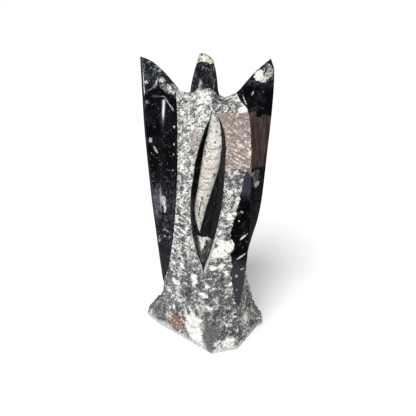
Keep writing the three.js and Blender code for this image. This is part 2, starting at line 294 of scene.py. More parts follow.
# %% The grid of the stone
COLUMN_STOPS = [
    (lambda z: left_x(z), 4),
    (lambda z: left_x(z) + EDGE_BEVEL, 40),
    (lambda z: border_x(z), 40),
    (lambda z: rim_left(z), 4),
    (lambda z: mix(rim_left(z), rim_right(z), 0.06), 30),
    (lambda z: rim_right(z) - np.minimum(9, 0.3 * (rim_right(z) - rim_left(z))), 10),
    (lambda z: rim_right(z), 26),
    (lambda z: panel_x(z), 16),
    (lambda z: ridge_x(z), 28),
    (lambda z: right_x(z), 0),
]
LEVEL_ROWS, TOP_ROWS, ROW_BREAK = 262, 52, 300
HALVINGS = 30
columns = np.concatenate(
    [i + np.arange(cuts) / cuts for i, (_, cuts) in enumerate(COLUMN_STOPS[:-1])]
    + [[len(COLUMN_STOPS) - 1.0]])


def column_x(column, z):
    """Between two neighbouring stops, the column's fraction is its share of the way across."""
    stops = np.stack([stop(z) for stop, _ in COLUMN_STOPS])
    i = np.minimum(column.astype(int), len(COLUMN_STOPS) - 2)
    i, share = np.broadcast_arrays(i, column - i)
    low = np.take_along_axis(stops, np.broadcast_to(i, z.shape)[None], 0)[0]
    high = np.take_along_axis(stops, np.broadcast_to(i, z.shape)[None] + 1, 0)[0]
    return mix(low, high, share)


def outline_top(x):
    """The higher of the body's top and the horn's side, the latter found by halving."""
    low, high = np.full(x.shape, HORN_FOOT - 4.0), np.full(x.shape, float(HORN_TOP))
    hit = np.abs(x - horn_middle(low)) < horn_radius(low)
    for _ in range(HALVINGS):
        middle = (low + high) / 2
        inside = np.abs(x - horn_middle(middle)) < horn_radius(middle)
        low, high = np.where(inside, middle, low), np.where(inside, high, middle)
    return np.where(hit, np.maximum(body_top(x), low), body_top(x))


def column_tops(column):
    """The height where a column meets the outline, found by halving between the break and the top."""
    low, high = np.full(column.shape, float(ROW_BREAK)), np.full(column.shape, float(HORN_TOP))
    for _ in range(HALVINGS):
        middle = (low + high) / 2
        under = middle < outline_top(column_x(column, middle))
        low, high = np.where(under, middle, low), np.where(under, high, middle)
    return low


levels = np.linspace(0, ROW_BREAK, LEVEL_ROWS)
shares = np.linspace(0, 1, TOP_ROWS + 1)[1:]
tops = column_tops(columns)
grid_z = np.concatenate([
    np.repeat(levels[:, None], len(columns), 1),
    mix(float(ROW_BREAK), tops[None, :], shares[:, None])])
grid_x = column_x(columns[None, :], grid_z)
front = np.stack([grid_x, front_depth(grid_x, grid_z), grid_z], -1)
front[-1, :, 1] = crest_y(front[-1, :, 0])
back = np.stack([grid_x, back_depth(grid_x, grid_z), grid_z], -1)[:, ::2]
print("front grid", front.shape[:2], "back grid", back.shape[:2])

# %% [markdown]
# ## Faces that close the stone
#
# Front and back meet on the crest, where they share their vertices. The two narrow strips down the fins'
# outer edges and the sawn underside join them elsewhere. The underside is a row of five-sided faces,
# because each back column faces two front columns.


# %% Join the two grids
def quads(rows_low, rows_high):
    """Faces between two rows of vertex numbers, each row one column longer than the faces."""
    return np.stack([rows_low[:-1], rows_low[1:], rows_high[1:], rows_high[:-1]], -1)


def join_grids(front_shape, back_shape):
    """Vertex numbers of both grids and the faces of the closed stone, all facing outwards."""
    rows, wide = front_shape
    narrow = back_shape[1]
    ahead = np.arange(rows * wide).reshape(rows, wide)
    behind = rows * wide + np.arange((rows - 1) * narrow).reshape(rows - 1, narrow)
    faces = [quads(low, high) for low, high in zip(ahead, ahead[1:])]
    faces += [quads(low[::-1], high[::-1]) for low, high in zip(behind, behind[1:])]
    left = np.stack([behind[:-1, 0], ahead[:-2, 0], ahead[1:-1, 0], behind[1:, 0]], -1)
    right = np.stack([ahead[:-2, -1], behind[:-1, -1], behind[1:, -1], ahead[1:-1, -1]], -1)
    fours = np.concatenate(faces + [left, right])
    foot, head = ahead[0], ahead[-1]
    under = np.stack([foot[2::2], foot[1::2], foot[:-2:2], behind[0, :-1], behind[0, 1:]], -1)
    last = behind[-1]
    crown = np.stack([last[1:], last[:-1], head[:-2:2], head[1::2], head[2::2]], -1)
    ends = np.array([[last[0], ahead[-2, 0], head[0]], [ahead[-2, -1], last[-1], head[-1]]])
    return fours, np.concatenate([under, crown]), ends


fours, fives, threes = join_grids(front.shape[:2], back.shape[:2])
shape = np.concatenate([front.reshape(-1, 3), back[:-1].reshape(-1, 3)])
facing_front = np.arange(len(shape)) < front.shape[0] * front.shape[1]
print("vertices", len(shape), "triangles", 2 * len(fours) + 3 * len(fives) + len(threes))


def outward(points, faces):
    """Vertex normals: the crossed diagonals of the four-sided faces, summed at their corners."""
    corners = points[faces]
    across = np.cross(corners[:, 2] - corners[:, 0], corners[:, 3] - corners[:, 1])
    total = np.zeros_like(points)
    for k in range(4):
        np.add.at(total, faces[:, k], across)
    return total / np.maximum(np.linalg.norm(total, axis=1, keepdims=True), 1e-12)


normals = outward(shape, fours)
print("mean outward y, front and back", normals[facing_front, 1].mean(), normals[~facing_front, 1].mean())

# %% [markdown]
# ## Random, but the same every time
#
# Stone is irregular, and yet the lesson must give the same stone on every run. A hash turns the whole
# numbers of a lattice corner into a number that looks random and never changes. Noise mixes the numbers
# of the eight corners around a point. Strikes are scattered points: the distance to the nearest one
# makes the round hollows that a pointed chisel leaves, with sharp ribs between them.


# %% Noise and strikes
def corner_value(corner, seed):
    """A number in 0..1 for each lattice corner: its numbers multiplied, joined and shifted, as hashes do."""
    i = corner.astype(np.int64)
    code = (i[..., 0] * 73856093 ^ i[..., 1] * 19349663 ^ i[..., 2] * 83492791) + seed * 26544357
    code = (code & 0xFFFFFFFF).astype(np.uint64)
    for shift, factor in ((15, 2246822519), (13, 3266489917)):
        code = ((code ^ (code >> np.uint64(shift))) * np.uint64(factor)) & np.uint64(0xFFFFFFFF)
    return (code ^ (code >> np.uint64(16))).astype(float) / 2.0 ** 32


def smooth_noise(points, size, seed):
    """The eight corners' numbers mixed along an S-curve in each direction, from -1 to 1."""
    p = points / size
    low = np.floor(p)
    s = p - low
    s = s * s * (3 - 2 * s)
    total = np.zeros(len(p))
    for corner in np.ndindex(2, 2, 2):
        total += np.prod(np.where(corner, s, 1 - s), -1) * corner_value(low + corner, seed)
    return 2 * total - 1


def layers(points, size, seed, count=4):
    """Layers of noise summed, each of half the size and half the strength of the one before."""
    parts = [0.5 ** k * smooth_noise(points, size / 2 ** k, seed + k) for k in range(count)]
    return sum(parts) / (2 - 0.5 ** (count - 1))


def strikes(points, size, seed):
    """One strike at a random place in each cell of a lattice: the distances to the nearest and the next
    nearest, the way to the nearest, all in lattice steps, and a number of its own for each strike."""
    p = points / size
    low = np.floor(p)
    first, second, own = np.full(len(p), 9.0), np.full(len(p), 9.0), np.zeros(len(p))
    way = np.zeros_like(p)
    for step in np.ndindex(3, 3, 3):
        home = low + step - 1
        to = home + np.stack([corner_value(home, seed + k) for k in range(3)], -1) - p
        gap = np.linalg.norm(to, axis=-1)
        second = np.minimum(second, np.maximum(first, gap))
        nearer = gap < first
        own = np.where(nearer, corner_value(home, seed + 3), own)
        way = np.where(nearer[:, None], to, way)
        first = np.where(nearer, gap, first)
    return first, second, way, own


x, y, z = shape.T
print("noise from", round(layers(shape, 20, 1).min(), 2), "to", round(layers(shape, 20, 1).max(), 2))

# %% [markdown]
# ## Where the stone is rough
#
# The carver polished the two flutes, the horn and the facets beside the window, and left the foot and
# the panel around the window as the chisel left them. One number per point says which: the distance in
# millimetres from the nearest border between the two, above zero where the stone is rough. A distance
# stays exact between the points of the grid, so the border can be drawn far sharper than the grid. Where
# the chisel ran out over the polished facet it left teeth, so noise along the border pushes it outwards.

# %% The border between polished and rough
LEFT_POLISH_FOOT, INNER_POLISH_FOOT, OUTER_POLISH_FOOT = 66, 60, 98
HORN_REACH, FAR = 20, 60
LEFT_TEETH, RIGHT_TEETH, TOOTH_SPACING = 1.3, 1.9, 4.5
KNOB, KNOB_Z, KNOB_HALF = 3.6, 146.5, 5


def rough_distance(x, z, in_front):
    """Inside the panel, or below the polished parts, but neither on the horn nor in the window."""
    level = np.stack([0 * z, 0 * z, z], -1)
    left = LEFT_TEETH * layers(level, TOOTH_SPACING, 5, 2) * (1 - ease(z, 150, 200))
    right = RIGHT_TEETH * (0.3 + layers(level, TOOTH_SPACING, 6, 2)) * (1 - ease(z, 262, 290))
    right = right + KNOB * np.exp(-((z - KNOB_Z) / KNOB_HALF) ** 2)
    panel = np.minimum(x - border_x(z) + left, panel_x(z) - x + right)
    foot = np.where(x < 0, LEFT_POLISH_FOOT, INNER_POLISH_FOOT) - z
    outer = np.minimum(x - np.where(in_front, ridge_x(z), panel_x(z)), OUTER_POLISH_FOOT - z)
    rough = np.maximum(panel, np.maximum(foot, outer))
    on_horn = np.where(np.abs(x - HORN_X) < HORN_REACH, body_top(x) - z, FAR)
    window = np.minimum(np.minimum(x - rim_left(z), rim_right(z) - x), z - WINDOW_FOOT)
    window = np.where(in_front & (z < WINDOW_TOP), window, -FAR)
    return np.clip(np.minimum(np.minimum(rough, on_horn), -window), -FAR, FAR)


rough_mm = rough_distance(x, z, facing_front)
rough = ease(rough_mm, -0.2, 1.4)
print("share of points on rough stone", round(float((rough > 0.5).mean()), 2))

# %% [markdown]
# ## The chisel's marks
#
# The rough stone is cut back along its own outward direction, never built up, so it stays inside the
# solid's box. Three sizes of mark add up: fine and coarse strikes everywhere, and near the foot the flat
# broken faces of the quarried block, each with its own tilt. The sawn underside and the band just above
# it stay straight, because the saw made them before the chisel came.

# %% Cut the rough stone back
SAWN_BAND = 5
CORNER_REACH, CORNER_SLANT = 76.5, 0.9
COARSE_STRIKE, FINE_STRIKE, BROKEN_FACE = 5.6, 2.6, 22
PIT_DEPTH, DIMPLE_DEPTH, WAVE_DEPTH, EVEN_DEPTH = 0.95, 0.45, 0.9, -0.15
RIPPLE_DEPTH, SKIN = 0.06, 0.3
coarse = strikes(shape * [1, 1, 1.15], COARSE_STRIKE, 11)[0]
fine = strikes(shape, FINE_STRIKE, 23)[0]
pit = np.clip(1 - 1.5 * coarse ** 2, 0, 1)
dimple = np.clip(1 - 1.5 * fine ** 2, 0, 1)
near_foot = 1 - ease(z, 30, 95)
above_saw = ease(z, SAWN_BAND - 1.5, SAWN_BAND + 3)
tilt, offset = strikes(shape * [1, 1, 0.8], BROKEN_FACE, 31)[2:]
broken = 1.4 * offset + 2.0 * np.clip(np.sin(9 * offset) * tilt[:, 0] + tilt[:, 2], -1, 1)
depth = PIT_DEPTH * pit + DIMPLE_DEPTH * dimple + WAVE_DEPTH * layers(shape, 20, 41) + EVEN_DEPTH
depth = rough * (depth + near_foot * (broken + 0.5 * pit - 0.4)) * (0.15 + 0.85 * above_saw)
ripple = (1 - rough) * RIPPLE_DEPTH * (1 + layers(shape, 26, 53, 2))
cut = shape - normals * (depth + ripple)[:, None]
cut[z <= 0, 2] = 0
cut[:, 0] = np.minimum(cut[:, 0], CORNER_REACH + CORNER_SLANT * cut[:, 2])
cut = np.clip(cut, DRAWN_LOW + [SKIN, SKIN, 0], DRAWN_HIGH - [SKIN, SKIN, 0])
print("cuts from", round(float(depth.min()), 2), "to", round(float(depth.max()), 2), "mm, mean",
      round(float(depth[rough > 0.5].mean()), 2), "mm")

# %% [markdown]
# ## Beds, patches and fossil scraps
#
# The block is not one colour. A purple-brown bed of mud crosses it on the right, rust has seeped in at
# the foot, and calcite fills scraps of shell. Large patches are soft blobs with a noisy border. The small
# scraps on the polished stone need crisp outlines, so each point stores where it lies inside its nearest
# scrap, as shares of the scrap's half length and half width, and the finish draws the outline from that.


# %% Soft patches
def patch(centre_x, centre_z, half_x, half_z, seed, turn=0, ragged=0.35):
    """1 inside a turned ellipse and 0 outside, with noise added to the share of the way to its rim."""
    c, s = math.cos(math.radians(turn)), math.sin(math.radians(turn))
    along = (c * (x - centre_x) + s * (z - centre_z)) / half_x
    across = (c * (z - centre_z) - s * (x - centre_x)) / half_z
    share = np.hypot(along, across) + ragged * layers(shape, 7, seed)
    return np.where(facing_front, 1 - ease(share, 0.8, 1.15), 0)


BED_FOOT, BED_TOP, BED_LEFT, BED_PINCH, BED_THIN_FROM = 238, 298.5, 22, 0.55, 46
BED_WAVE_FRONT, BED_WAVE_BACK = 1.6, 9
WEDGE_LEFT, WEDGE_SLOPE, BED_TILT_FROM, BED_TILT = 53.5, 1.1, 62, 0.33
inner_facet = facing_front & (x > panel_x(z)) & (x < ridge_x(z))
bed_foot = BED_FOOT - np.where(inner_facet, WEDGE_SLOPE * np.maximum(0, x - WEDGE_LEFT), 0)
bed_foot -= BED_TILT * np.maximum(0, x - BED_TILT_FROM)
bed_top = BED_TOP - BED_TILT * np.maximum(0, x - BED_TILT_FROM)
thinner = np.where(facing_front, 0, BED_PINCH * np.maximum(0, BED_THIN_FROM - x))
bed_left = np.where(facing_front, BED_LEFT, -FAR)
bed_mm = np.minimum(np.minimum(z - bed_foot, bed_top - z) - thinner, x - bed_left)
bed_mm += np.where(facing_front, BED_WAVE_FRONT, BED_WAVE_BACK) * layers(shape, 16, 61)
bed_mm = np.where(facing_front & (x < 34) & (rough_mm < 0), -FAR, bed_mm)
pink = np.maximum(patch(-1, 272, 9, 19, 71, -22), 0.75 * patch(4, 249, 6, 10, 72))
rust = np.maximum(patch(-33.5, 16.5, 11, 13, 73), 0.4 * patch(2, 50, 6, 4, 86))
cream = np.maximum.reduce([
    patch(33.5, 143, 16.5, 8.5, 74, 27, 0.7), 0.9 * patch(43, 11.5, 8, 8, 75, 0, 0.6),
    0.4 * patch(-6, 23, 12, 18, 87),
    0.7 * patch(49, 203, 3.5, 11, 80, -25)])
dark = np.maximum(patch(17, 20, 9.5, 22, 81), 0.8 * patch(-64, 18, 13, 9, 82))
print("patches: rust", int((rust > 0.5).sum()), "cream", int((cream > 0.5).sum()), "points")

# %% Lumps of calcite and dark seams in the foot
LUMPS = [
    # x, z, half width, half height, turn in degrees, whiter or darker by
    (-6, 24, 13, 20, 0, 1.8), (3, 9, 11, 8, 0, 1.5), (34, 9, 9, 8, 0, 1.5), (27, 153, 7, 5, 0, 1.1),
    (-31, 80, 6.5, 3.6, 0, 1.7), (-4, 96.5, 5, 8, -15, 2.0), (13.5, 91, 3, 2.8, 0, 2.0),
    (8, 78, 7, 3.6, 5, 1.6), (20, 117.5, 5, 4, 0, 1.4), (31, 120, 3.6, 3.6, 0, 1.2),
    (38, 111, 3.6, 2.6, 0, 1.5), (44, 97, 2.6, 2, 0, 1.4), (47, 69, 4, 2, -10, 1.5),
    (17, 61, 4, 3.2, 0, 1.5), (0, 55, 2.8, 7, 0, 1.2), (42, 36, 3.6, 3.4, 0, 1.8),
    (61, 28, 3, 6, 0, 1.6), (-43, 59, 3.4, 3.4, 0, 1.2), (-22, 316, 9, 4, 0, 1.0),
    (-37, 38, 4, 4, 0, 1.2), (-22, 110, 9, 3, -25, 0.8), (-30, 62, 4, 2.6, 0, 0.8),
    (6, 314, 8, 7, 0, 0.8), (22, 306, 10, 7, 0, -0.55), (49, 302, 5, 3, 0, 1.8),
    (-28, 268, 3.5, 8, -40, -0.5), (-36, 240, 6, 7, 0, -0.5), (-13.5, 73, 4.5, 26, -8, -0.9),
    (27, 54, 16, 6, 10, -0.6), (-46, 80, 9, 5, 0, -0.5),
    (30, 82, 9, 5, 0, -0.6), (-17, 92, 6, 5, 0, -0.5),
]
lumps = sum(shift * patch(px, pz, half_x, half_z, 83 + i, turn)
            for i, (px, pz, half_x, half_z, turn, shift) in enumerate(LUMPS))
print(len(LUMPS), "lumps shift the white from", np.round(lumps.min(), 1), "to", np.round(lumps.max(), 1))

# %% Crisp scraps
SCRAPS = [
    # x, z, half length, half width, turn in degrees, tone: 1 white, 0 grey, -1 black
    (-45, 331, 4.0, 3.0, 0, 1), (-65, 328, 3.2, 0.9, 80, 0.8), (-65, 328, 3.0, 0.9, -10, 0.8),
    (-52, 328, 4.6, 1.1, 80, 0.9), (-39.5, 306, 9.5, 0.6, -52, 0.8), (-33.5, 300, 3.6, 1.7, -60, 0.3),
    (-64, 260.5, 2.4, 2.9, 0, 0.7), (-58.5, 249, 5.2, 1.8, -62, 0.6), (-49.5, 184, 7.5, 3.6, 82, 1),
    (-47.5, 174, 6.0, 2.0, 80, 0.9), (-46, 144.5, 6.0, 0.7, 4, 0.9), (-30.6, 280, 1.6, 1.8, 0, 1),
    (-31, 260, 1.2, 1.5, 0, 0.9), (-32, 248, 1.0, 1.4, 0, 0.8), (-33.5, 228, 0.9, 1.2, 0, 0.8),
    (-49.6, 135, 2.4, 1.0, 60, 0.9), (-40.5, 139, 2.0, 1.0, 50, 0.9), (-58, 126, 3.4, 1.3, 70, 0.6),
    (64.5, 337, 5.6, 6.4, 0, 2.0), (69.5, 333, 3.6, 3.6, 0, 1.2), (75, 341, 4.0, 7.5, 10, 0.6),
    (70.8, 342, 0.9, 5.5, -20, -0.8),
    (67, 297, 4.0, 5.0, 0, -2.4), (67.5, 215.5, 2.6, 3.6, -10, 0.8), (55.5, 156.5, 6.4, 1.4, 44, 0.9),
    (53.6, 131.5, 6.8, 1.2, 36, 0.9), (55.4, 115, 2.6, 1.0, 20, 0.7), (49, 106.4, 2.1, 2.1, 0, 0.6),
    (50.4, 87.4, 1.5, 1.8, 0, 0.1), (52.6, 187.3, 2.2, 1.3, -40, 0.6), (49.6, 176.6, 1.0, 1.2, 0, 1),
    (-46, 331, 3.0, 2.4, 20, 0.9), (-54, 324, 2.8, 1.8, 0, 0.3), (-60, 320.5, 5.2, 0.7, 24, 0.25),
    (-68, 321.5, 0.8, 0.9, 0, 0.5), (-68, 318, 0.8, 0.9, 0, 0.5), (-66, 305.6, 1.6, 2.2, 0, 0.3),
    (-52, 346, 2.6, 1.2, -30, 0.4), (-48, 341.5, 1.4, 1.8, 0, 0.5), (-60, 351, 3.6, 0.8, 30, 0.4),
    (0.4, 327, 6.5, 2.0, 80, 0.5), (-0.6, 320.5, 3.6, 3.6, 0, 0.6), (14, 345, 5, 0.7, 88, 0.25),
    (15, 327, 7, 0.6, 86, 0.25),
    (58, 318, 2.4, 1.0, 70, 0.5), (50, 311, 6.5, 0.7, -62, 0.8), (63, 230, 2.0, 3.0, -30, 0.1),
    (10, 143.5, 1.5, 3.0, -35, -1), (0.6, 358, 1.5, 1.0, 0, -1), (-59, 129, 1.4, 4.4, -8, 0.3),
]
BACK_SCRAPS = [
    (-52, 288, 8.0, 2.2, 78, 0.9), (-60, 262, 4.2, 1.2, -40, 0.7), (-44, 246, 2.2, 2.8, 0, 0.6),
    (-56, 214, 9.5, 1.6, 70, 0.9), (-43, 196, 3.4, 1.0, 20, 0.7), (-60, 168, 2.0, 2.4, 0, 0.5),
    (-47, 152, 6.0, 1.8, -75, 1.0), (-54, 118, 3.6, 1.2, 35, 0.7), (-63, 332, 4.4, 3.0, 30, 0.8),
    (-46, 318, 2.6, 1.6, 0, 0.5), (69, 330, 4.6, 4.2, 0, 1.1), (74, 309, 4.0, 0.9, 60, 0.6),
    (69, 222, 7.0, 1.8, 80, 0.8), (72, 190, 2.4, 2.0, 0, 0.5), (60, 160, 6.2, 1.3, -60, 0.9),
    (55, 128, 3.2, 1.0, 30, 0.7), (2, 336, 5.5, 1.2, 75, 0.4),
]
SCRAP_EDGE, SCRAP_REACH, SCRAP_FALL = 1.2, 2.6, 3.0


def nearest_scrap(scraps, back_scraps):
    """For each point, (along / half length, across / half width) in its nearest scrap's own directions.
    A third number grows outside the rim, so that no mix of two scraps' numbers looks like an inside."""
    place = np.tile([0.0, 0.0, 9.0], (len(shape), 1))
    tone = np.zeros(len(shape))
    best = np.full(len(shape), SCRAP_REACH)
    sides = [(facing_front, scrap) for scrap in scraps] + [(~facing_front, scrap) for scrap in back_scraps]
    for side, (sx, sz, half_length, half_width, turn, shade) in sides:
        c, s = math.cos(math.radians(turn)), math.sin(math.radians(turn))
        along = (c * (x - sx) + s * (z - sz)) / half_length
        across = (c * (z - sz) - s * (x - sx)) / half_width
        share = np.hypot(along, across)
        outside = SCRAP_FALL * np.maximum(0, share - SCRAP_EDGE)
        mine = side & (share < best)
        place[mine] = np.stack([along, across, outside], -1)[mine]
        tone[mine] = shade
        best = np.where(mine, share, best)
    return place, tone


scrap_place, scrap_tone = nearest_scrap(SCRAPS, BACK_SCRAPS)
CAP_FOOT, CAP_ARCH, CAP_ARCH_WIDTH = 348.8, 2.6, 5.0
cap_foot = CAP_FOOT + CAP_ARCH * np.exp(-((x - HORN_X + 2) / CAP_ARCH_WIDTH) ** 2)
cap_mm = np.where(np.abs(x - HORN_X) < HORN_REACH, z - cap_foot, -FAR)
in_scrap = np.linalg.norm(scrap_place, axis=1) < 1
print(len(SCRAPS) + len(BACK_SCRAPS), "scraps;", int(in_scrap.sum()), "points inside one")

# %% [markdown]
# ## How white the chisel left it
#
# A strike crushes the stone, and crushed limestone is white whatever its colour inside. So the hollows
# are white and the ribs between them dark grey. A noise picks the shade at each point, and a shift of
# that noise makes an area whiter or darker: whitest high on the left, less towards the foot, least on
# the right flank, which is painted darker as shade on the side turned away from the key light. The
# polish changes too: a painted reflection of blue-grey lies low on the stone and across the right inner
# facet, the slope at the window's foot is streaky, and it is pale where the window's rim is bevelled.

# %% Share of white
# How much darker the right flank is painted, as shade on the side turned away from the key light.
FLANK_PAINTED_SHADE = -0.55
upper = curve((0, -0.70), (40, -0.80), (85, -0.75), (110, -0.42), (150, -0.10), (200, 0.05), (360, 0.10))
right_drop = curve((0, 0), (85, 0.05), (125, -0.05), (170, -0.35), (230, -0.40), (300, -0.15), (360, -0.25))
white_shift = upper(z) + right_drop(z) * ease(x, 8, 24) + 0.55 * layers(shape, 22, 91, 2)
# Painted shade: the right flank, turned away from the key light, is painted darker.
white_shift = np.where(facing_front & (x > ridge_x(z) - 0.5), FLANK_PAINTED_SHADE, white_shift)
white_shift += lumps
sawn = (1 - ease(z, SAWN_BAND - 1.5, SAWN_BAND + 1)) * np.where(x < 53, 1, 0.7)
from_left_border, from_right_border = x - border_x(z), panel_x(z) - x
stroked = 1.2 * (1 - ease(from_left_border, 12, 26)) * ease(z, 60, 85) * (1 - ease(z, 170, 215))
stroked = np.maximum(stroked, 0.8 * (1 - ease(from_right_border, 5, 16)) * ease(z, 65, 90))
furrow = (0.45 + 0.55 * ease(x, 30, 50)) * (1 - 0.5 * ease(z, 255, 290))
print("shift of white from", round(white_shift.min(), 2), "to", round(white_shift.max(), 2))

# %% Shades of the polish
scrap_share = 0.12 + 0.4 * ease(z, 120, 180) * (1 - ease(z, 225, 262)) * (x < 0)
mottle = np.where(np.abs(x - HORN_X) > HORN_REACH, 0.7 * ease(z, 322, 336), 0.35 * ease(z, 314, 320))
mottle = np.maximum(mottle, 0.4 * (x < 0) * ease(z, 110, 135) * (1 - ease(z, 185, 220)))
pale = np.maximum(patch(-37, 322, 11, 5, 84, -15), 0.22 * patch(66, 224, 4, 10, 85))
# Painted reflection: a blue-grey sheen, painted by height on the right inner facet in a band across its
# middle and low down, and at half strength low on the left, where the polish would mirror a bright room.
slate = np.where(inner_facet, np.maximum(ease(z, 202, 212) * (1 - ease(z, 236, 244)),
                                         1 - ease(z, 112, 134)), 0)
slate = np.maximum(slate, np.where(facing_front & (x < 0), 0.5 * (1 - ease(z, 90, 150)), 0))
WALL_WIDE = 8
in_window = facing_front & (x > rim_left(z)) & (x < rim_right(z)) & (z > WINDOW_FOOT) & (z < WINDOW_TOP)
wall = in_window & (x > rim_right(z) - WALL_WIDE)
dull = np.where(wall | (x < left_x(z) + EDGE_BEVEL), 1.0, np.where(in_window, 0.42, 0.0))
print("mottled", int((mottle > 0.5).sum()), "slate", int((slate > 0.5).sum()), "points")

# %% Slope and chamfer of the window
SLOPE_TOP, SLOPE_RISE_LEFT, SLOPE_RISE_RIGHT, SLOPE_SHIFT, CHAMFER_STRETCH = 148.3, 7.5, 4.0, 0.25, 1.9
WEDGE_HIGH, WEDGE_LOW = [(0.0, 149), (17, 154)], (4.2, 133)
window_half = np.maximum(rim_right(z) - rim_left(z), 1) / 2
window_side = (x - rim_left(z)) / window_half - 1
slope_side = window_side + SLOPE_SHIFT
slope_edge = SLOPE_TOP + np.where(slope_side > 0, SLOPE_RISE_RIGHT, SLOPE_RISE_LEFT) * slope_side ** 2
slope_mm = np.where(in_window, slope_edge - z, -FAR)
wedge_left, wedge_right = (mix(high[0], WEDGE_LOW[0], (high[1] - z) / (high[1] - WEDGE_LOW[1]))
                           for high in WEDGE_HIGH)
wedge = np.minimum(x - wedge_left, wedge_right - x)
slope_shade = -1.1 + 2.2 * ease(wedge, -1.5, 1.0) - 1.6 * (1 - ease(z, 112, 126))
rim_gap = np.where(window_side < 0, rim_left(z) - x, (x - rim_right(z)) / CHAMFER_STRETCH)
rim_gap = np.where(facing_front & (z > WINDOW_FOOT - 2), rim_gap, FAR)
chamfer = ease(rim_gap, -0.4, 0.1) * (1 - ease(rim_gap, 1.1, 1.7)) * (1 - ease(z, 140, 172))
chamfer *= np.where(window_side < 0, 0.6, 1.0)
print("slope", int((slope_mm > 0).sum()), "chamfer", int((chamfer > 0.5).sum()), "points")

# %% [markdown]
# ## The stone as a mesh
#
# Blender takes a mesh as a list of points and a list of faces. Everything that the finish has to know
# about a place on the stone goes into the mesh too, as attributes: one number, or three, per vertex.
# They travel with the surface, so the finish is the same from every side and in every program.


# %% Helpers that make a mesh
def new_piece(name, points, faces, finish):
    """A mesh object of these points, in metres, and faces, given as arrays of vertex numbers."""
    mesh = bpy.data.meshes.new(name)
    mesh.from_pydata(points.tolist(), [], [face for group in faces for face in group.tolist()])
    mesh.validate()
    mesh.polygons.foreach_set("use_smooth", np.ones(len(mesh.polygons), bool))
    mesh.materials.append(finish)
    made = bpy.data.objects.new(name, mesh)
    bpy.context.scene.collection.objects.link(made)
    return made


def store(piece, **fields):
    """One attribute per field: a number, or a vector of three numbers, for every vertex."""
    for name, values in fields.items():
        wide = values.ndim == 2
        kind, slot = ("FLOAT_VECTOR", "vector") if wide else ("FLOAT", "value")
        attribute = piece.data.attributes.new(name, kind, "POINT")
        attribute.data.foreach_set(slot, values.astype(np.float32).ravel())


# %% [markdown]
# ## Writing a finish
#
# A finish is a tree of nodes, and a long one is hard to read as node after node. The small class here
# writes it as sums: each call adds one node and gives its output back, to be used in the next call. All
# patterns read the object's own coordinates, so they stay on the stone from every side.


# %% A short way to write nodes
def paint(red, green, blue):
    """A screen colour, 0 to 255, as the linear light values that Blender mixes."""
    share = np.array([red, green, blue]) / 255
    linear = np.where(share <= 0.04045, share / 12.92, ((share + 0.055) / 1.055) ** 2.4)
    return (*linear.tolist(), 1.0)


